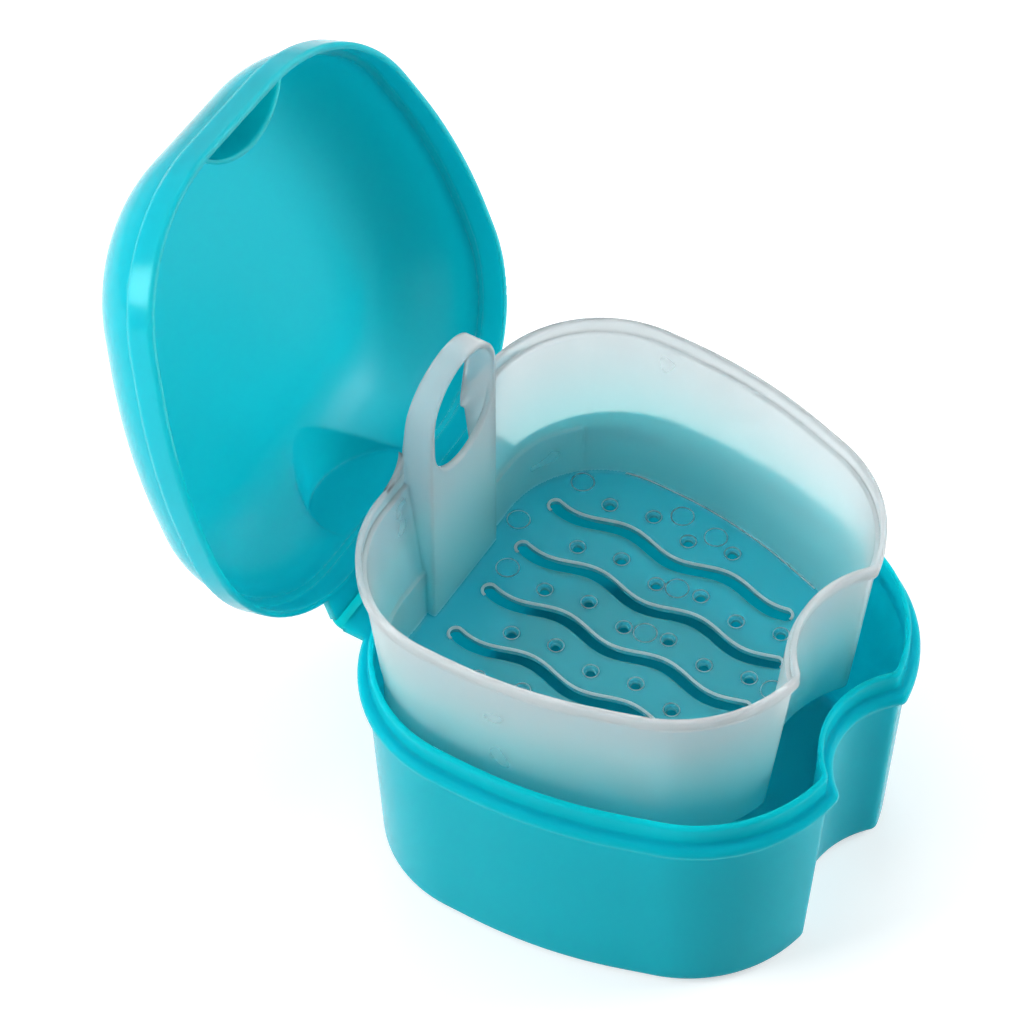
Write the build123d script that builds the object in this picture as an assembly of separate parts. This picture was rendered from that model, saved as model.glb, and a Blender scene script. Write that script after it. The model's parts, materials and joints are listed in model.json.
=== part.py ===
"""Denture case: a cup with a hinged lid, moulded in one with a living hinge, and a lift-out strainer basket.

Frame, in millimetres: +Z up, +X to the right, -Y to the front, where the thumb notch is, +Y to the hinge.
The origin is on the underside of the cup, which is the face that the case rests on.
The case is modelled as it is used: the lid stands open and the basket is lifted out of the cup.
"""
from build123d import *
from math import cos, pi, radians, sin, tan
import os

# Plan: the shape seen from above that cup, basket and lid share, each at its own inset or outset
HALF_WIDTH = 41.3          # the widest place of the plan, from the middle
BACK_Y = 39.6              # the straight back edge
FRONT_Y = -40.7            # the front edge, before the thumb notch is taken out
SIDE_BEND_Y = -2.7         # where the sides begin to close in towards the front
SIDE_SLOPE_DEG = 18.0      # how steeply they close in
BACK_CORNER_R = 24.0
SIDE_BEND_R = 90.0
FRONT_ROUNDNESS = 0.654    # front corners' radius as a share of HALF_WIDTH, so that it grows with the width
NOTCH_R = 17.3             # thumb notch, a round scoop in the front
NOTCH_DEPTH = 5.7
NOTCH_EDGE_R = 1.8         # rounding of the two upright edges beside the notch

# Cup
CUP_FLOOR = 1.5
CUP_WALL = 1.2
CUP_BACK_ROOM = 1.15       # extra depth behind the basket, so that it can be lifted out leaning back
CUP_FOOT_OUTSET = -0.9     # outside of the wall at the foot, from the plan
CUP_TOP_OUTSET = 1.1       # and right under the flange
FOOT_R = 1.6
FLANGE_OUTSET = 2.7
FLANGE_UNDER_Z = 40.8
FLANGE_TOP_Z = 43.45
FLANGE_R = 1.1
LIP_THICKNESS = 0.9
LIP_TOP_Z = 47.5
LIP_TOP_R = 0.35
COVE = 0.2                 # hollow between lip and flange

# Lid, measured up from its rim with the case closed
LID_OPEN_DEG = 110.5       # opening angle, as modelled
LID_RIM_GAP = 0.15         # between the closed lid's rim and the flange
SKIRT_OUTSET = 3.35
SKIRT_WALL = 1.2
SKIRT_HEIGHT = 5.5
SHOULDER_WALL = 0.9        # the level step between skirt and dome
DOME_STEP = 1.5            # the dome starts this far inside the skirt
DOME_RISE = 14.9
DOME_RUN = 17.0            # how far the dome rounds over towards the middle
DOME_WALL = 1.1
SKIRT_RIM_R = 0.45         # rounding of the rim's two edges
SHOULDER_R = 1.0
DOME_LEVELS = 7            # sections that the rounding is made of
THUMB_RIB_WALL = 0.7       # curved wall behind the lid's front edge, along the thumb notch

# Living hinge, on an axis along X behind the rims
HINGE_Y = 47.15
HINGE_Z = 43.6
HINGE_HALF = 25.0
HINGE_BEAD_R = 0.7         # the web, as a round bead about the axis
HINGE_LUG = 1.4            # thickness of the two plates that the web joins
HINGE_GAP = 0.06           # plates to bead
LUG_GAP = 0.2              # each plate to the plane of the axis
LUG_ROOT = 1.0             # how deep each plate is rooted in its rim

# Strainer basket, measured up from the top of its floor
BASKET_FLOOR = 1.3
BASKET_WALL = 1.0
BASKET_HEIGHT = 35.4
BASKET_RIM_OUTSET = -0.7
BASKET_RIM_STEP = 0.8      # the rim band stands this far out from the wall below it
BASKET_RIM_BAND = 2.6
BASKET_RIM_R = 0.35        # rounding of the rim's top edges
BASKET_FOOT_OUTSET = -4.6
BASKET_FOOT_R = 0.5
BASKET_FOOT_SET = 0.1      # how much further in the back wall lies at its foot
BASKET_WAIST_SET = 0.5     # and just above the ledge, to pass the cup's lip
LEDGE_Z = 10.6             # underside of the ledge round the back corners, which drains on the cup's lip
LEDGE_SET = 0.6            # the wall right below the ledge lies this much further in
LEDGE_FRONT_Y = 27.6       # where the ledge ends towards the front
BASKET_SEAT_GAP = 0.2      # basket to cup floor with the basket down
BASKET_LIFT = 33.2         # how far the basket is lifted, as modelled
BASKET_LEAN = 4.7          # and how far it goes back as it is lifted

# Handle of the basket: an upright channel that ends in an arch
PANEL_Y = 32.3             # front face of the channel
PANEL_WALL = 1.1
HANDLE_HALF = 10.3
HANDLE_WALL = 1.15
HANDLE_ARCH_Z = 47.5       # where the arch begins
HANDLE_TOP_SET = 2.3       # the back edge comes this far forward from the rim to the top
HANDLE_R = 0.4             # rounding of its edges
HANDLE_HOLE_Z = 42.6       # centre of the finger hole's lower round end
HOLE_EDGE_R = 0.3          # rounding of the finger hole's front edge
HANDLE_SWEEP_R = 5.0       # curve from the rim up into the handle
POCKET_PLAY = 0.9          # lid's pocket round the arch
POCKET_RISE = 0.8          # and more above it, because the arch rises as the lid opens
POCKET_FRONT_Y = 26.5
POCKET_BACK_Y = 40.4       # inside of the pocket's back wall

# Openings in the basket floor
ROW_PITCH = 11.2           # slot to slot, and hole row to hole row
SLOT_COUNT = 5
SLOT_WIDTH = 2.7
SLOT_BACK_Y = 27.3         # middle of each slot's round back end
SLOT_FRONT_Y = -23.0
OUTER_SLOT_FRONT_Y = -19.3
WAVE_LENGTH = 20.0
WAVE_HEIGHT = 1.05
WAVE_PHASE_Y = 3.3         # a place where the wave is furthest to the left
WAVE_POINT_COUNT = 6       # points to a wave
HOLE_PITCH = 8.0
HOLE_FIRST_Y = 19.2
HOLE_ZIGZAG = 0.83
HOLE_D = 1.8
HOLE_MOUTH_D = 2.8
HOLE_MOUTH_DEPTH = 0.5
INNER_ROW_COUNT = 6
OUTER_ROW_COUNT = 4

# Worked out from the sizes above
FRONT_CORNER_R = FRONT_ROUNDNESS * HALF_WIDTH
NOTCH_CENTRE_Y = FRONT_Y + NOTCH_DEPTH - NOTCH_R
LID_RIM_Z = FLANGE_TOP_Z + LID_RIM_GAP
BASKET_DOWN_Z = CUP_FLOOR + BASKET_SEAT_GAP + BASKET_FLOOR
BAND_Z = BASKET_HEIGHT - BASKET_RIM_BAND
BASKET_DRAFT = (BASKET_RIM_OUTSET - BASKET_RIM_STEP - BASKET_FOOT_OUTSET) / (BAND_Z + BASKET_FLOOR)


def plan(outset, back_room=0.0, notch=True):
    """The common outline moved out by outset, and its back by back_room more, as a face at Z 0."""
    slope = radians(SIDE_SLOPE_DEG)
    back = BACK_Y + outset + back_room
    front = FRONT_Y - outset
    half = HALF_WIDTH + outset
    bend_y = SIDE_BEND_Y - outset * (1 - cos(slope)) / sin(slope)
    front_half = half - (bend_y - front) * tan(slope)
    corners = [(half, back), (half, bend_y), (front_half, front)]
    radii = [BACK_CORNER_R + outset, SIDE_BEND_R + outset, FRONT_CORNER_R + outset]
    corners += [(-x, y) for x, y in reversed(corners)]
    radii += list(reversed(radii))
    face = make_face(FilletPolyline(*corners, radius=radii, close=True))
    if not notch:
        return face
    centre = Vector(0, NOTCH_CENTRE_Y)
    notch_r = NOTCH_R - outset
    face -= Pos(centre) * Circle(notch_r)
    corners = face.vertices().filter_by(lambda v: abs((Vector(v) - centre).length - notch_r) < 0.001)
    return fillet(corners, NOTCH_EDGE_R)


def slab(face, low_z, high_z):
    """Upright solid on an outline."""
    return extrude(Pos(0, 0, low_z) * face, amount=high_z - low_z)


def taper(low, high, low_z, high_z):
    """Solid between two outlines at two heights."""
    return loft([Pos(0, 0, low_z) * low, Pos(0, 0, high_z) * high], ruled=True)


def edges_at(solid, z):
    """The edges of a solid that lie flat at one height."""
    return solid.edges().filter_by_position(Axis.Z, z - 0.001, z + 0.001)


def cup_plan(outset):
    return plan(outset, CUP_BACK_ROOM)


def hinge_plate(root_y, low_z):
    """One of the two plates that the hinge web joins, from its root to just before the bead."""
    end_y = HINGE_Y - HINGE_BEAD_R - HINGE_GAP
    outline = Pos(0, (root_y + end_y) / 2) * Rectangle(2 * HINGE_HALF, end_y - root_y)
    return slab(outline, low_z, low_z + HINGE_LUG)


def make_cup():
    inner_outset = CUP_TOP_OUTSET - CUP_WALL
    lip_outset = inner_outset + LIP_THICKNESS
    wall = taper(cup_plan(CUP_FOOT_OUTSET), cup_plan(CUP_TOP_OUTSET), 0, FLANGE_UNDER_Z)
    wall = fillet(edges_at(wall, 0), FOOT_R)
    flange = slab(cup_plan(FLANGE_OUTSET), FLANGE_UNDER_Z, FLANGE_TOP_Z)
    flange = fillet(edges_at(flange, FLANGE_UNDER_Z) + edges_at(flange, FLANGE_TOP_Z), FLANGE_R)
    cove = taper(cup_plan(lip_outset + COVE), cup_plan(lip_outset), FLANGE_TOP_Z, FLANGE_TOP_Z + COVE)
    lip = slab(cup_plan(lip_outset), FLANGE_TOP_Z, LIP_TOP_Z)
    lip = fillet(edges_at(lip, LIP_TOP_Z), LIP_TOP_R)
    flange_back_y = BACK_Y + CUP_BACK_ROOM + FLANGE_OUTSET
    plate = hinge_plate(flange_back_y - FLANGE_R - LUG_ROOT, HINGE_Z - LUG_GAP - HINGE_LUG)
    hollow = taper(cup_plan(CUP_FOOT_OUTSET - CUP_WALL), cup_plan(inner_outset), CUP_FLOOR, FLANGE_UNDER_Z)
    hollow = fillet(edges_at(hollow, CUP_FLOOR), FOOT_R)
    mouth = slab(cup_plan(inner_outset), FLANGE_UNDER_Z, LIP_TOP_Z)
    return wall + flange + cove + lip + plate - hollow - mouth


def make_hinge_web():
    bead = Cylinder(HINGE_BEAD_R, 2 * HINGE_HALF, rotation=(0, 90, 0))
    return Pos(0, HINGE_Y, HINGE_Z) * bead


def dome(wall):
    """The lid's dome on its shoulder, or, with a wall, the hollow inside it."""
    foot_outset = SKIRT_OUTSET - DOME_STEP
    sections = []
    for level in range(DOME_LEVELS):
        turn = pi / 2 * level / (DOME_LEVELS - 1)
        outset = foot_outset - DOME_RUN + (DOME_RUN - wall) * cos(turn)
        height = SKIRT_HEIGHT + (DOME_RISE - wall) * sin(turn)
        sections.append(Pos(0, 0, height) * plan(outset, notch=False))
    return loft(sections)


def arch_block(half, low, spring, front_y, back_y):
    """Upright block with a round top, seen from the front: half is its half width and its top radius."""
    sides = Polyline((-half, spring), (-half, low), (half, low), (half, spring))
    top = ThreePointArc((half, spring), (0, spring + half), (-half, spring))
    return extrude(Plane.XZ.offset(-back_y) * make_face(sides + top), amount=back_y - front_y)


def make_lid():
    """The lid, closed."""
    step_z = SKIRT_HEIGHT - SHOULDER_WALL
    hollow_outset = SKIRT_OUTSET - DOME_STEP - DOME_WALL
    skirt = slab(plan(SKIRT_OUTSET, notch=False), 0, SKIRT_HEIGHT)
    skirt = fillet(edges_at(skirt, 0), SKIRT_RIM_R)
    skirt = fillet(edges_at(skirt, SKIRT_HEIGHT), SHOULDER_R)
    outside = skirt + dome(0)
    hollow = slab(plan(SKIRT_OUTSET - SKIRT_WALL, notch=False), 0, step_z)
    hollow += slab(plan(hollow_outset, notch=False), step_z, SKIRT_HEIGHT)
    hollow += dome(DOME_WALL)
    arch_z = HANDLE_ARCH_Z + BASKET_DOWN_Z - LID_RIM_Z + POCKET_RISE
    pocket_half = HANDLE_HALF + POCKET_PLAY
    housing = arch_block(pocket_half + DOME_WALL, step_z, arch_z, POCKET_FRONT_Y, POCKET_BACK_Y + DOME_WALL)
    pocket = arch_block(pocket_half, step_z, arch_z, POCKET_FRONT_Y, POCKET_BACK_Y)
    shell = outside + housing - hollow - pocket
    rib = Circle(NOTCH_R - SKIRT_OUTSET + THUMB_RIB_WALL) - Circle(NOTCH_R - SKIRT_OUTSET)
    rib = slab(Pos(0, NOTCH_CENTRE_Y) * rib, 0, SKIRT_HEIGHT + DOME_RISE) & outside
    plate = hinge_plate(BACK_Y + SKIRT_OUTSET - LUG_ROOT, LUG_GAP)
    return Pos(0, 0, LID_RIM_Z) * (shell + rib + plate)


def wavy_slot(x, front_y):
    """Cutter for one slot: its sides follow a wave."""
    def side(offset):
        step = WAVE_LENGTH / WAVE_POINT_COUNT
        count = round((SLOT_BACK_Y - front_y) / step)
        points = []
        for i in range(count + 1):
            y = front_y + (SLOT_BACK_Y - front_y) * i / count
            points.append((x + offset - WAVE_HEIGHT * cos(2 * pi * (y - WAVE_PHASE_Y) / WAVE_LENGTH), y))
        return points
    left = side(-SLOT_WIDTH / 2)
    right = side(SLOT_WIDTH / 2)
    front_tip = ((left[0][0] + right[0][0]) / 2, front_y - SLOT_WIDTH / 2)
    back_tip = ((left[-1][0] + right[-1][0]) / 2, SLOT_BACK_Y + SLOT_WIDTH / 2)
    outline = Spline(*left) + Spline(*right)
    outline += ThreePointArc(left[0], front_tip, right[0])
    outline += ThreePointArc(left[-1], back_tip, right[-1])
    return slab(make_face(outline), -BASKET_FLOOR, 0)


def drain_hole(x, y):
    """Cutter for one round hole with its wider mouth."""
    bore = slab(Pos(x, y) * Circle(HOLE_D / 2), -BASKET_FLOOR, 0)
    mouth = slab(Pos(x, y) * Circle(HOLE_MOUTH_D / 2), -HOLE_MOUTH_DEPTH, 0)
    return bore + mouth


def floor_openings():
    cutters = []
    outermost = (SLOT_COUNT - 1) / 2
    for i in range(SLOT_COUNT):
        place = i - outermost
        front_y = OUTER_SLOT_FRONT_Y if abs(place) == outermost else SLOT_FRONT_Y
        cutters.append(wavy_slot(place * ROW_PITCH, front_y))
    for i in range(SLOT_COUNT + 1):
        place = i - SLOT_COUNT / 2
        outer = abs(place) == SLOT_COUNT / 2
        count = OUTER_ROW_COUNT if outer else INNER_ROW_COUNT
        for k in range(count):
            side = HOLE_ZIGZAG if k % 2 else -HOLE_ZIGZAG
            cutters.append(drain_hole(place * ROW_PITCH + side, HOLE_FIRST_Y - k * HOLE_PITCH))
    return cutters


def basket_wall(inset, ledge_set):
    """Full block of the basket under its band, moved in by inset, and by ledge_set more below the ledge."""
    low_z = 0 if inset else -BASKET_FLOOR
    ledge_z = LEDGE_Z + inset
    ledge_outset = BASKET_FOOT_OUTSET + (LEDGE_Z + BASKET_FLOOR) * BASKET_DRAFT - inset
    foot = plan(BASKET_FOOT_OUTSET - inset, -BASKET_FOOT_SET)
    under_ledge = plan(ledge_outset - ledge_set, -BASKET_WAIST_SET)
    waist = plan(ledge_outset, -BASKET_WAIST_SET)
    neck = plan(BASKET_RIM_OUTSET - BASKET_RIM_STEP - inset)
    low = taper(foot, under_ledge, low_z, ledge_z)
    low = fillet(edges_at(low, low_z), BASKET_FOOT_R)
    return low + taper(waist, neck, ledge_z, BAND_Z)


def basket_block(inset):
    """The whole basket as a full block, its sides moved in by inset."""
    behind = Pos(0, LEDGE_FRONT_Y + BACK_Y / 2) * Rectangle(2 * HALF_WIDTH, BACK_Y)
    back_zone = slab(behind, -BASKET_FLOOR, BASKET_HEIGHT)
    rim = plan(BASKET_RIM_OUTSET - inset)
    band = slab(rim, BAND_Z, BASKET_HEIGHT)
    if inset:
        flared = plan(BASKET_RIM_OUTSET - inset + BASKET_RIM_R)
        band += taper(rim, flared, BASKET_HEIGHT - BASKET_RIM_R, BASKET_HEIGHT)
    else:
        band = fillet(edges_at(band, BASKET_HEIGHT), BASKET_RIM_R)
    return (basket_wall(inset, 0) - back_zone) + (basket_wall(inset, LEDGE_SET) & back_zone) + band


def make_handle(outside, back_y):
    """The channel at the back and the arch above it, still without channel and finger hole."""
    handle = arch_block(HANDLE_HALF, -BASKET_FLOOR, HANDLE_ARCH_Z, PANEL_Y, back_y)
    beside = Pos(0, back_y) * Rectangle(2 * HALF_WIDTH, 2 * (back_y - LEDGE_FRONT_Y))
    handle -= slab(beside, -BASKET_FLOOR, BAND_Z) - outside
    arch_top = HANDLE_ARCH_Z + HANDLE_HALF
    top_y = back_y - HANDLE_TOP_SET
    lean = Polyline((back_y, BASKET_HEIGHT), (top_y, arch_top), (back_y, arch_top), close=True)
    handle -= extrude(Plane.YZ * make_face(lean), amount=HANDLE_HALF, both=True)
    round_edges = handle.edges().filter_by(lambda e: e.center().Z > HANDLE_ARCH_Z)
    handle = fillet(round_edges, HANDLE_R)
    for side in (-1, 1):
        corner_x = side * (HANDLE_HALF + HANDLE_SWEEP_R / 2)
        square = Pos(corner_x, BASKET_HEIGHT + HANDLE_SWEEP_R / 2) * Rectangle(HANDLE_SWEEP_R, HANDLE_SWEEP_R)
        hollow = Pos(side * (HANDLE_HALF + HANDLE_SWEEP_R), BASKET_HEIGHT + HANDLE_SWEEP_R)
        gusset = square - hollow * Circle(HANDLE_SWEEP_R)
        handle += extrude(Plane.XZ.offset(-back_y) * gusset, amount=BASKET_WALL)
    return handle


def make_basket():
    """The basket with the top of its floor at Z 0."""
    outside = basket_block(0)
    back_y = BACK_Y + BASKET_RIM_OUTSET
    channel_front_y = PANEL_Y + PANEL_WALL
    inner_half = HANDLE_HALF - HANDLE_WALL
    basket = outside - basket_block(BASKET_WALL)
    basket += make_handle(outside, back_y)
    basket -= arch_block(inner_half, -BASKET_FLOOR, HANDLE_ARCH_Z, channel_front_y, BACK_Y)
    hole = arch_block(inner_half, HANDLE_HOLE_Z, HANDLE_ARCH_Z, PANEL_Y, channel_front_y)
    hole_end = Plane.XZ.offset(-channel_front_y) * Pos(0, HANDLE_HOLE_Z) * Circle(inner_half)
    hole += extrude(hole_end, amount=PANEL_WALL)
    basket -= hole
    hole_edges = basket.edges().filter_by_position(Axis.Y, PANEL_Y - 0.001, PANEL_Y + 0.001)
    hole_edges = hole_edges.filter_by(lambda e: abs(e.center().X) <= inner_half and e.center().Z > BAND_Z)
    basket = fillet(hole_edges, HOLE_EDGE_R)
    for cutter in floor_openings():
        basket -= cutter
    return basket


lid_turn = Pos(0, HINGE_Y, HINGE_Z) * Rot(-LID_OPEN_DEG, 0, 0) * Pos(0, -HINGE_Y, -HINGE_Z)
nodes = {
    "cup": make_cup(),
    "hinge_web": make_hinge_web(),
    "lid": lid_turn * make_lid(),
    "strainer_basket": Pos(0, BASKET_LEAN, BASKET_DOWN_Z + BASKET_LIFT) * make_basket(),
}

os.makedirs("parts", exist_ok=True)
for name, shape in nodes.items():
    export_step(shape, f"parts/{name}.step")
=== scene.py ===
"""Finish, small moulded details and studio for a denture case with a lift-out strainer basket."""

import json
from math import cos, pi, radians, sin

import bmesh
import bpy
from bpy.props import FloatProperty, FloatVectorProperty, IntProperty, PointerProperty
from mathutils import Matrix, Vector
from mathutils.bvhtree import BVHTree


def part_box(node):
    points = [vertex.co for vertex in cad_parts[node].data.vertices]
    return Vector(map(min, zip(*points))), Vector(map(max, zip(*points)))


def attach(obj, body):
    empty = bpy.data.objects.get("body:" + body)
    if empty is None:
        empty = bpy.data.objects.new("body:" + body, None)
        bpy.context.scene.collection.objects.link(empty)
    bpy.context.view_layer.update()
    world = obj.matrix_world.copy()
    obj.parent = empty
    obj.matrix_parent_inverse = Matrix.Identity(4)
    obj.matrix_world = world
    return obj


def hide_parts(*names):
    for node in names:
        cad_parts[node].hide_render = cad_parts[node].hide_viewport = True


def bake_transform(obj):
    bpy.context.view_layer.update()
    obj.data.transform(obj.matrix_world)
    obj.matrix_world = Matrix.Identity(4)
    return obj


bl_info = {
    "name": "Denture Case",
    "version": (1, 0),
    "blender": (4, 5, 0),
    "location": "View3D > Sidebar > Denture Case",
    "description": "Finishes the case and its basket, adds their small moulded details, and lights them",
    "category": "Object",
}

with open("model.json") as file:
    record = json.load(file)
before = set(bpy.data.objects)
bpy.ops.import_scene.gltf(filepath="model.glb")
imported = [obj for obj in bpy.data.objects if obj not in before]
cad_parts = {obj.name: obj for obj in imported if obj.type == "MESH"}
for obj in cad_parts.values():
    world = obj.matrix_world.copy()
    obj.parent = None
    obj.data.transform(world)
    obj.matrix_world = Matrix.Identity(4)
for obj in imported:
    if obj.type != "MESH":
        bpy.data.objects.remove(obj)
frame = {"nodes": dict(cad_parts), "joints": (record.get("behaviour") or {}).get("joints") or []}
NODES = frame["nodes"]
JOINTS = {joint["name"]: joint for joint in frame["joints"]}
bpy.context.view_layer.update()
BASKET_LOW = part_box("strainer_basket")[0]
HINGE = Vector(JOINTS["lid_hinge"]["pos_m"])
LID_OPEN = radians(-JOINTS["lid_hinge"]["range_deg"][0])
# The basket's own zero is the middle of its floor's upper side; it stands lifted and a little back
BASKET_FLOOR_TOP = BASKET_LOW.z + 0.0013
BASKET_BACK_SHIFT = 0.0047
# Up to this height the basket's colour is mixed towards the case's turquoise, fading out: a painted glow that
# stands in for the light the case throws onto the basket's lower walls
PAINTED_GLOW_HEIGHT = 0.038
# Moulded edges catch the light over this radius
EDGE_ROUNDING = 0.0012
CASE_IOR = 1.49
BASKET_IOR = 1.25  # less than polypropylene has, so the walls bend light less
CASE_SCATTER_DEPTH = 0.006
BASKET_SCATTER_DEPTH = 0.002
ROUGHNESS_SPREAD = 0.15
WHITE = (1, 1, 1)
HINGE_THICKNESS = 0.0004
HINGE_SAG = Vector((0, 0.0003, -0.0003))
# Mirrored light takes on a little of the case's colour where it is seen straight on
GLOSS_TINT = (0.25, 1.0, 1.0)


def colour_property(name, description, default):
    return FloatVectorProperty(
        name=name, description=description, subtype="COLOR", size=3, min=0, max=1, default=default
    )


def length_property(name, description, default):
    return FloatProperty(name=name, description=description, subtype="DISTANCE", default=default)


class CaseColours(bpy.types.PropertyGroup):
    case: colour_property("Case", "Colour of the cup and lid", (0.0035, 0.45, 0.56))
    basket: colour_property("Basket", "Colour of the milky basket", (0.85, 0.885, 0.9))
    # Painted light: turquoise mixed into the basket's lower walls for the glow the case throws onto them
    basket_painted_glow: colour_property(
        "Basket stain", "Colour the basket takes up from the case, at its floor", (0.48, 0.97, 1.0)
    )
    # Painted light: the clear floor is tinted turquoise for the case's colour glowing up through it
    basket_floor_painted_glow: colour_property("Basket floor", "Colour of the basket's clearer floor", (0.18, 0.86, 0.98))
    gloss_roughness: FloatProperty(
        name="Polished roughness", description="Roughness of the case's outside", default=0.13, min=0, max=1
    )
    satin_roughness: FloatProperty(
        name="Satin roughness", description="Roughness of the case's inside", default=0.34, min=0, max=1
    )
    backdrop: colour_property("Backdrop", "Colour of the floor and backdrop", (0.72, 0.72, 0.72))


class BasketDetails(bpy.types.PropertyGroup):
    slot_pitch: length_property("Slot pitch", "From one wavy slot to the next", 0.0112)
    slot_count: IntProperty(name="Slots", description="Number of wavy slots", default=5, min=1)
    slot_width: length_property("Slot width", "Width of a slot", 0.0027)
    slot_back: length_property("Slot back", "Middle of a slot's back end", 0.0273)
    slot_front: length_property("Slot front", "Middle of an inner slot's front end", -0.023)
    outer_slot_front: length_property("Outer slot front", "Middle of an outer slot's front end", -0.0193)
    wave_length: length_property("Wave length", "Length of one wave", 0.02)
    wave_height: length_property("Wave height", "How far a slot sways to each side", 0.00105)
    wave_start: length_property("Wave start", "A place where a slot is furthest left", 0.0033)
    bead: length_property("Bead", "Radius of the raised bead along each slot", 0.00028)
    hole_pitch: length_property("Hole pitch", "From one drain hole to the next", 0.008)
    hole_back: length_property("Hole back", "Middle of the drain holes furthest back", 0.0192)
    hole_sway: length_property("Hole sway", "How far holes stand beside their row", 0.00083)
    hole_mouth: length_property("Hole mouth", "Radius of a drain hole's rim", 0.00142)
    hole_bead: length_property("Hole bead", "Radius of the bead round a drain hole", 0.0001)
    foot_back: length_property("Foot bead back", "Back end of the bead at the right wall's foot", 0.0205)
    foot_front: length_property("Foot bead front", "Front end of the bead at the right wall's foot", -0.021)
    foot_bead: length_property("Foot bead", "Radius of the bead at the right wall's foot", 0.00025)
    mark_radius: length_property("Mark radius", "Radius of the round ejector marks", 0.00205)
    mark_bead: length_property("Mark bead", "Thickness of an ejector mark's line", 0.0001)


class CaseStudio(bpy.types.PropertyGroup):
    view_azimuth: FloatProperty(
        name="View azimuth",
        description="Angle of the view about Z",
        subtype="ANGLE",
        default=radians(-58.675),
    )
    view_elevation: FloatProperty(
        name="View elevation", description="Height of the view", subtype="ANGLE", default=radians(50.583)
    )
    view_roll: FloatProperty(name="View roll", description="Tilt of the camera", subtype="ANGLE", default=0.0)
    view_distance: length_property("View distance", "Camera to target", 0.6975)
    target: FloatVectorProperty(
        name="Target",
        description="Point the camera looks at",
        subtype="XYZ",
        default=(-0.036755, 0.005317, 0.112424),
    )
    lens: FloatProperty(name="Lens", description="Focal length in millimetres", default=158.2)
    floor_glow: FloatProperty(
        name="Floor glow",
        description="How much whiter than its own colour the floor is seen",
        default=0.52,
        min=0,
    )


def link(obj):
    bpy.context.scene.collection.objects.link(obj)
    return obj


def new_material(name):
    material = bpy.data.materials.new(name)
    material.use_nodes = True
    nodes = material.node_tree.nodes
    return material, nodes, material.node_tree.links, nodes["Principled BSDF"]


def fine_bump(material, scale, distance):
    """Rounded edges and a faint unevenness of the surface, as moulding leaves them."""
    nodes = material.node_tree.nodes
    links = material.node_tree.links
    place = nodes.new("ShaderNodeTexCoord")
    grain = nodes.new("ShaderNodeTexNoise")
    grain.inputs["Scale"].default_value = scale
    grain.inputs["Detail"].default_value = 3.0
    rounded = nodes.new("ShaderNodeBevel")
    rounded.samples = 4
    rounded.inputs["Radius"].default_value = EDGE_ROUNDING
    bump = nodes.new("ShaderNodeBump")
    bump.inputs["Strength"].default_value = 1.0
    bump.inputs["Distance"].default_value = distance
    links.new(rounded.outputs["Normal"], bump.inputs["Normal"])
    links.new(place.outputs["Object"], grain.inputs["Vector"])
    links.new(grain.outputs["Fac"], bump.inputs["Height"])
    links.new(bump.outputs["Normal"], nodes["Principled BSDF"].inputs["Normal"])


def roughness_clouds(material, roughness, scale):
    """Roughness that wanders softly about its middle value."""
    nodes = material.node_tree.nodes
    links = material.node_tree.links
    place = nodes.new("ShaderNodeTexCoord")
    clouds = nodes.new("ShaderNodeTexNoise")
    clouds.inputs["Scale"].default_value = scale
    clouds.inputs["Detail"].default_value = 2.0
    spread = nodes.new("ShaderNodeMapRange")
    spread.inputs["To Min"].default_value = roughness * (1 - ROUGHNESS_SPREAD)
    spread.inputs["To Max"].default_value = roughness * (1 + ROUGHNESS_SPREAD)
    links.new(place.outputs["Object"], clouds.inputs["Vector"])
    links.new(clouds.outputs["Fac"], spread.inputs["Value"])
    links.new(spread.outputs["Result"], nodes["Principled BSDF"].inputs["Roughness"])


def case_plastic(name, colour, roughness, specular, tint, grain_depth):
    """Turquoise polypropylene: a little light passes under its surface and rounds off the edges."""
    material, nodes, links, shader = new_material(name)
    shader.inputs["Base Color"].default_value = (*colour, 1)
    shader.inputs["IOR"].default_value = CASE_IOR
    shader.inputs["Specular IOR Level"].default_value = specular
    shader.inputs["Specular Tint"].default_value = (*tint, 1)
    shader.inputs["Subsurface Weight"].default_value = 1.0
    shader.inputs["Subsurface Radius"].default_value = (0.1, 1.0, 1.0)
    shader.inputs["Subsurface Scale"].default_value = CASE_SCATTER_DEPTH
    roughness_clouds(material, roughness, 60)
    fine_bump(material, 900, grain_depth)
    return material


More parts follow.
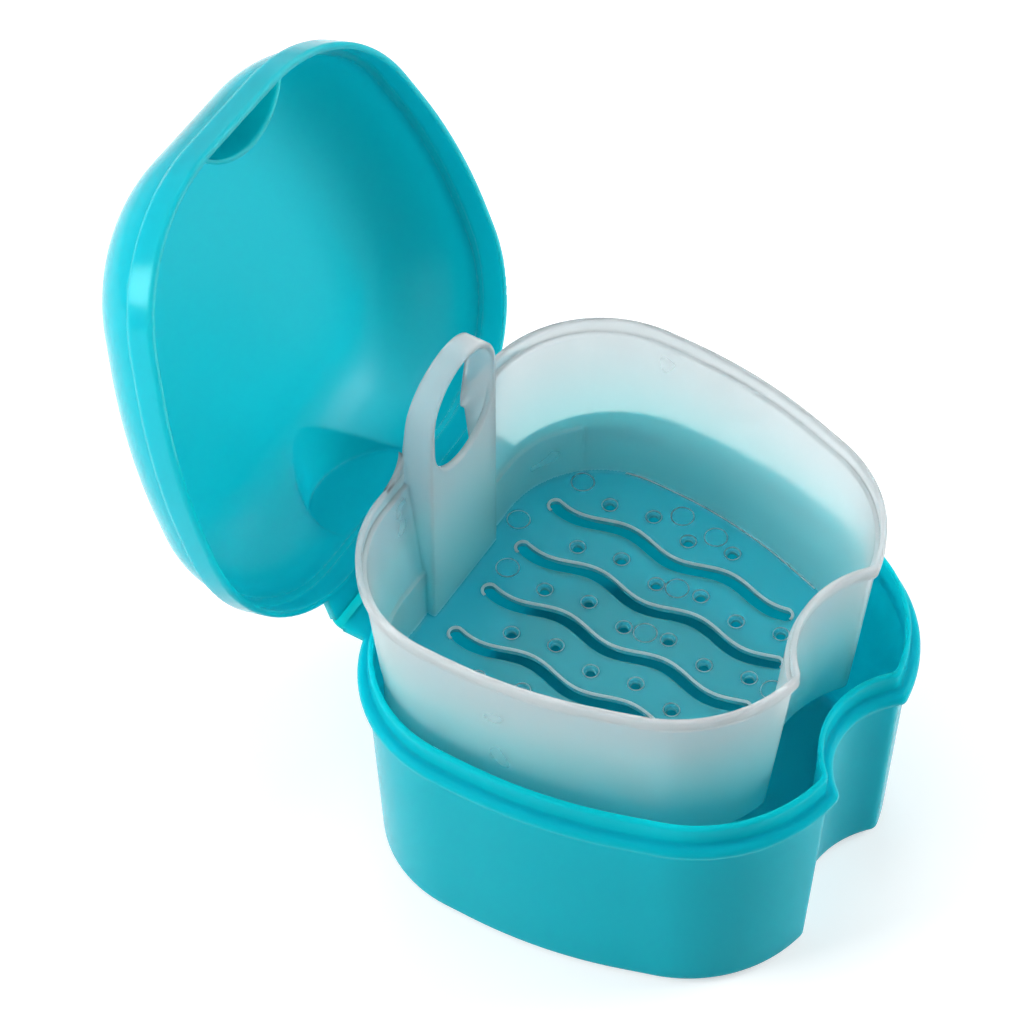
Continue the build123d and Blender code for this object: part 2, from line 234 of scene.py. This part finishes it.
def basket_plastic(name, colour, painted_glow, roughness, clearness, low_clearness):
    """Milky polypropylene: light passes through it blurred, and low down its colour is mixed towards the
    case's turquoise, a painted glow for the light the case throws onto it.
    """
    material, nodes, links, shader = new_material(name)
    place = nodes.new("ShaderNodeTexCoord")
    apart = nodes.new("ShaderNodeSeparateXYZ")
    height = nodes.new("ShaderNodeMapRange")
    height.interpolation_type = "SMOOTHSTEP"
    height.inputs["From Min"].default_value = BASKET_LOW.z
    height.inputs["From Max"].default_value = BASKET_LOW.z + PAINTED_GLOW_HEIGHT
    # Painted glow: the basket's foot takes the case's turquoise, which fades into the basket's own colour
    # with height
    tint = nodes.new("ShaderNodeMix")
    tint.data_type = "RGBA"
    tint.inputs["A"].default_value = (*painted_glow, 1)
    tint.inputs["B"].default_value = (*colour, 1)
    links.new(place.outputs["Object"], apart.inputs["Vector"])
    links.new(apart.outputs["Z"], height.inputs["Value"])
    links.new(height.outputs["Result"], tint.inputs["Factor"])
    links.new(tint.outputs["Result"], shader.inputs["Base Color"])
    shader.inputs["IOR"].default_value = BASKET_IOR
    clear = nodes.new("ShaderNodeMapRange")
    clear.inputs["To Min"].default_value = low_clearness
    clear.inputs["To Max"].default_value = clearness
    links.new(height.outputs["Result"], clear.inputs["Value"])
    links.new(clear.outputs["Result"], shader.inputs["Transmission Weight"])
    shader.inputs["Subsurface Weight"].default_value = 1.0
    shader.inputs["Subsurface Radius"].default_value = (1.0, 1.0, 1.0)
    shader.inputs["Subsurface Scale"].default_value = BASKET_SCATTER_DEPTH
    roughness_clouds(material, roughness, 80)
    fine_bump(material, 500, 0.00001)
    return material


def is_inside(node, centre, normal):
    """Whether a face of the case looks into its hollow; the lid is judged as it lies closed."""
    if node == "cup":
        radial = Vector((centre.x, centre.y, 0))
        if abs(normal.z) > 0.7:
            return normal.z > 0 and centre.z < 0.01
        return normal.dot(radial) < 0
    shut = Matrix.Rotation(LID_OPEN, 3, "X")
    closed = shut @ (centre - HINGE)
    turned = shut @ normal
    if turned.z < -0.35:
        return closed.z > 0.002
    radial = Vector((closed.x, closed.y + HINGE.y, 0))
    return turned.dot(radial) < 0


def finish_case_node(node, outside, inside):
    """Gives a CAD shell one finish outside and another inside."""
    mesh = NODES[node].data
    mesh.materials.clear()
    mesh.materials.append(outside)
    mesh.materials.append(inside)
    for face in mesh.polygons:
        face.material_index = 1 if is_inside(node, face.center, face.normal) else 0


class CASE_OT_case(bpy.types.Operator):
    """Finish the cup and the lid in turquoise plastic"""
    # Add the living hinge, a thin web between cup and lid, shaped with a slight sag

    bl_idname = "denture_case.case"
    bl_label = "Cup and Lid"

    def execute(self, context):
        colours = context.scene.case_colours
        gloss = colours.gloss_roughness
        polished = case_plastic("case_polished", colours.case, gloss, 0.3, GLOSS_TINT, 0.000002)
        smooth = case_plastic("case_smooth", colours.case, gloss * 1.5, 0.04, GLOSS_TINT, 0.000004)
        inside = case_plastic("case_satin", colours.case, colours.satin_roughness, 0.17, WHITE, 0.000012)
        finish_case_node("cup", smooth, inside)
        finish_case_node("lid", polished, inside)
        return {"FINISHED"}


class CASE_OT_hinge(bpy.types.Operator):
    """Add the living hinge, a thin web that bends between cup and lid"""

    bl_idname = "denture_case.hinge"
    bl_label = "Living Hinge"

    def execute(self, context):
        low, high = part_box("hinge_web")
        width = high.x - low.x
        start = HINGE + Vector((0, -0.0011, -0.0009))
        end = HINGE + Vector((0, 0.0013, 0.0005))
        bm = bmesh.new()
        bmesh.ops.create_grid(bm, x_segments=24, y_segments=8, size=0.5)
        for vert in bm.verts:
            share = vert.co.y + 0.5
            middle = start.lerp(end, share) + HINGE_SAG * sin(pi * share)
            vert.co = Vector((vert.co.x * width, middle.y, middle.z))
        bmesh.ops.solidify(bm, geom=bm.faces[:], thickness=HINGE_THICKNESS)
        bmesh.ops.recalc_face_normals(bm, faces=bm.faces[:])
        mesh = bpy.data.meshes.new("hinge_web_strip")
        bm.to_mesh(mesh)
        bm.free()
        strip = link(bpy.data.objects.new("hinge_web_strip", mesh))
        mesh.materials.append(bpy.data.materials["case_polished"])
        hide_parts("hinge_web")
        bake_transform(strip)
        return {"FINISHED"}


def slot_path(details, place, front):
    """Points along the right edge of one wavy slot and round its two ends, on the basket's floor."""
    half = details.slot_width / 2
    steps = 60
    arc_steps = 14

    def sway(y):
        return -details.wave_height * cos(2 * pi * (y - details.wave_start) / details.wave_length)

    def end_arc(middle, first, last):
        turns = [first + (last - first) * i / arc_steps for i in range(arc_steps + 1)]
        return [(place + sway(middle) + half * cos(turn), middle + half * sin(turn)) for turn in turns]

    length = details.slot_back - front
    edge = [front + length * i / steps for i in range(1, steps)]
    side = [(place + half + sway(y), y) for y in edge]
    return end_arc(front, -0.6 * pi, 0) + side + end_arc(details.slot_back, 0, 0.95 * pi)


def bead_line(name, points, radius, closed):
    """A round bead along points on the basket's floor, as a mesh."""
    curve = bpy.data.curves.new(name, "CURVE")
    curve.dimensions = "3D"
    curve.bevel_depth = radius
    curve.bevel_resolution = 2
    curve.use_fill_caps = True
    spline = curve.splines.new("POLY")
    spline.points.add(len(points) - 1)
    for spot, (x, y) in zip(spline.points, points):
        spot.co = (x, y + BASKET_BACK_SHIFT, BASKET_FLOOR_TOP, 1)
    spline.use_cyclic_u = closed
    holder = link(bpy.data.objects.new(name + "_line", curve))
    bpy.context.view_layer.update()
    mesh = bpy.data.meshes.new_from_object(holder)
    mesh.name = name
    bpy.data.objects.remove(holder)
    bead = link(bpy.data.objects.new(name, mesh))
    mesh.shade_smooth()
    return bead


def circle(x, y, radius):
    steps = 24
    turns = [2 * pi * i / steps for i in range(steps)]
    return [(x + radius * cos(turn), y + radius * sin(turn)) for turn in turns]


def drain_holes(details):
    """Middles of the drain holes: six rows beside and between the slots, side by side in turns."""
    places = []
    last = details.slot_count
    for i in range(last + 1):
        row_x = (i - last / 2) * details.slot_pitch
        for k in range(4 if i in (0, last) else 6):
            side = details.hole_sway if k % 2 else -details.hole_sway
            places.append((row_x + side, details.hole_back - k * details.hole_pitch))
    return places


def foot_path(details):
    """Points along the foot of the basket's right wall, found on the basket itself."""
    mesh = NODES["strainer_basket"].data
    corners = [vert.co for vert in mesh.vertices]
    tree = BVHTree.FromPolygons(corners, [face.vertices for face in mesh.polygons])
    points = []
    steps = 30
    for i in range(steps + 1):
        y = details.foot_back + (details.foot_front - details.foot_back) * i / steps
        start = Vector((0.02, y + BASKET_BACK_SHIFT, BASKET_FLOOR_TOP + 0.0004))
        points.append((tree.ray_cast(start, Vector((1, 0, 0)))[0].x, y))
    return points


def finish_line(obj, material):
    obj.data.materials.clear()
    obj.data.materials.append(material)
    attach(obj, "basket")


# Middles of the round ejector marks on the basket's floor
MARKS = (
    (0.0056, 0.0273),
    (0.0159, 0.0313),
    (0.0292, 0.026),
    (0.0316, 0.0069),
    (0.0305, -0.0005),
    (0.0056, -0.0006),
    (0.017, -0.0004),
    (0.0062, -0.0255),
)


class CASE_OT_basket(bpy.types.Operator):
    """Finish the strainer basket and add the beads along its slots, holes and foot, and its ejector marks"""

    bl_idname = "denture_case.basket"
    bl_label = "Strainer Basket"

    def execute(self, context):
        colours = context.scene.case_colours
        details = context.scene.basket_details
        # The milky walls carry the painted turquoise glow low down
        milky = basket_plastic("basket_milky", colours.basket, colours.basket_painted_glow, 0.26, 0.68, 0.66)
        # The floor's turquoise tint is a painted glow of the case beneath it
        clear = basket_plastic("basket_clear", colours.basket_floor_painted_glow, colours.basket_floor_painted_glow, 0.2, 0.76, 0.76)
        # Painted highlight: the beads along slots, holes and foot and the ejector rings get an opaque white
        # copy of the basket plastic, so they read as bright edge lines
        line = basket_plastic("basket_line_painted_highlight", WHITE, WHITE, 0.3, 0.0, 0.0)
        basket = NODES["strainer_basket"].data
        basket.materials.clear()
        basket.materials.append(milky)
        basket.materials.append(clear)
        for face in basket.polygons:
            low = face.center.z < BASKET_FLOOR_TOP + 0.0002
            face.material_index = 1 if low and abs(face.normal.z) > 0.5 else 0
        last = (details.slot_count - 1) / 2
        for i in range(details.slot_count):
            place = i - last
            front = details.outer_slot_front if abs(place) == last else details.slot_front
            path = slot_path(details, place * details.slot_pitch, front)
            bead = bead_line(f"slot_bead_{i + 1}", path, details.bead, False)
            finish_line(bead, line)
        for i, (x, y) in enumerate(drain_holes(details)):
            ring = circle(x, y, details.hole_mouth)
            rim = bead_line(f"hole_rim_{i + 1}", ring, details.hole_bead, True)
            finish_line(rim, line)
        foot = bead_line("wall_foot_bead", foot_path(details), details.foot_bead, False)
        finish_line(foot, line)
        for i, (x, y) in enumerate(MARKS):
            ring = circle(x, y, details.mark_radius)
            mark = bead_line(f"ejector_mark_{i + 1}", ring, details.mark_bead, True)
            finish_line(mark, line)
        return {"FINISHED"}


# Softboxes: name, azimuth, elevation, power. Azimuth 0 is in front of the case and grows towards its right
LIGHTS = (
    ("key_light", 45, 20, 6.0),
    ("high_key_light", 45, 55, 0.6),
    ("back_left_light", 225, 20, 7.0),
    ("high_back_left_light", 225, 55, 1.6),
    ("left_front_light", 315, 20, 1.4),
    ("back_right_light", 125, 35, 2.0),
    ("top_light", 180, 80, 2.4),
)
LIGHT_DISTANCE = 1.0
LIGHT_SIZE = 0.45


def soft_light(name, azimuth, elevation, power):
    """A square softbox turned towards the case."""
    aim = Vector((0, 0.02, 0.06))
    turn, rise = radians(azimuth), radians(elevation)
    away = Vector((sin(turn) * cos(rise), -cos(turn) * cos(rise), sin(rise)))
    lamp = bpy.data.lights.new(name, "AREA")
    lamp.shape = "RECTANGLE"
    lamp.size = lamp.size_y = LIGHT_SIZE
    lamp.energy = power
    light = link(bpy.data.objects.new(name, lamp))
    light.location = aim + away * LIGHT_DISTANCE
    light.rotation_euler = (-away).to_track_quat("-Z", "Y").to_euler()
    light.visible_camera = False
    return light


def seen_rays(nodes, links):
    """1 for the rays that show a surface to the camera: straight, mirrored or through clear plastic."""
    path = nodes.new("ShaderNodeLightPath")
    mirrored = nodes.new("ShaderNodeMath")
    mirrored.operation = "MAXIMUM"
    through = nodes.new("ShaderNodeMath")
    through.operation = "MAXIMUM"
    links.new(path.outputs["Is Camera Ray"], mirrored.inputs[0])
    links.new(path.outputs["Is Glossy Ray"], mirrored.inputs[1])
    links.new(mirrored.outputs[0], through.inputs[0])
    links.new(path.outputs["Is Transmission Ray"], through.inputs[1])
    return through.outputs[0]


class CASE_OT_stage(bpy.types.Operator):
    """Set up the floor, the soft light and the camera"""

    bl_idname = "denture_case.stage"
    bl_label = "Stage"

    def execute(self, context):
        studio = context.scene.case_studio
        colours = context.scene.case_colours
        world = bpy.data.worlds.new("studio")
        context.scene.world = world
        world.use_nodes = True
        nodes = world.node_tree.nodes
        links = world.node_tree.links
        sky = nodes["Background"]
        sky.inputs["Color"].default_value = (1, 1, 1, 1)
        sky.inputs["Strength"].default_value = 0.02
        seen = nodes.new("ShaderNodeBackground")
        seen.inputs["Color"].default_value = (1, 1, 1, 1)
        seen.inputs["Strength"].default_value = 1.0
        mix = nodes.new("ShaderNodeMixShader")
        links.new(seen_rays(nodes, links), mix.inputs[0])
        links.new(sky.outputs[0], mix.inputs[1])
        links.new(seen.outputs[0], mix.inputs[2])
        links.new(mix.outputs[0], nodes["World Output"].inputs["Surface"])

        bm = bmesh.new()
        bmesh.ops.create_grid(bm, x_segments=1, y_segments=1, size=3)
        mesh = bpy.data.meshes.new("floor")
        bm.to_mesh(mesh)
        bm.free()
        floor = link(bpy.data.objects.new("floor", mesh))
        floor.location.z = -0.0003
        material, nodes, links, shader = new_material("floor_white")
        shader.inputs["Base Color"].default_value = (*colours.backdrop, 1)
        shader.inputs["Roughness"].default_value = 0.9
        shader.inputs["Emission Color"].default_value = (1, 1, 1, 1)
        glow = nodes.new("ShaderNodeMath")
        glow.operation = "MULTIPLY"
        glow.inputs[1].default_value = studio.floor_glow
        links.new(seen_rays(nodes, links), glow.inputs[0])
        links.new(glow.outputs[0], shader.inputs["Emission Strength"])
        mesh.materials.append(material)

        for light in LIGHTS:
            soft_light(*light)

        target = Vector(studio.target)
        flat = cos(studio.view_elevation)
        back = Vector(
            (sin(studio.view_azimuth) * flat, -cos(studio.view_azimuth) * flat, sin(studio.view_elevation))
        )
        lens = bpy.data.cameras.new("camera")
        lens.lens = studio.lens
        lens.clip_start = 0.01
        camera = link(bpy.data.objects.new("camera", lens))
        camera.location = target + back * studio.view_distance
        turn = (-back).to_track_quat("-Z", "Y") @ Matrix.Rotation(studio.view_roll, 3, "Z").to_quaternion()
        camera.rotation_euler = turn.to_euler()
        context.scene.camera = camera
        context.scene.view_settings.view_transform = "Standard"
        return {"FINISHED"}


class CASE_PT_panel(bpy.types.Panel):
    """Lists the case's pieces"""

    bl_idname = "CASE_PT_panel"
    bl_label = "Denture Case"
    bl_space_type = "VIEW_3D"
    bl_region_type = "UI"
    bl_category = "Denture Case"

    def draw(self, context):
        layout = self.layout
        for operator in (CASE_OT_case, CASE_OT_hinge, CASE_OT_basket, CASE_OT_stage):
            layout.operator(operator.bl_idname)
        for group in (context.scene.case_colours, context.scene.basket_details, context.scene.case_studio):
            for name in group.__annotations__:
                layout.prop(group, name)


CLASSES = (
    CaseColours,
    BasketDetails,
    CaseStudio,
    CASE_OT_case,
    CASE_OT_hinge,
    CASE_OT_basket,
    CASE_OT_stage,
    CASE_PT_panel,
)


def register():
    for cls in CLASSES:
        bpy.utils.register_class(cls)
    bpy.types.Scene.case_colours = PointerProperty(type=CaseColours)
    bpy.types.Scene.basket_details = PointerProperty(type=BasketDetails)
    bpy.types.Scene.case_studio = PointerProperty(type=CaseStudio)


def unregister():
    del bpy.types.Scene.case_colours
    del bpy.types.Scene.basket_details
    del bpy.types.Scene.case_studio
    for cls in reversed(CLASSES):
        bpy.utils.unregister_class(cls)


def main():
    register()
    bpy.ops.denture_case.case()
    bpy.ops.denture_case.hinge()
    bpy.ops.denture_case.basket()
    bpy.ops.denture_case.stage()


if __name__ == "__main__":
    main()
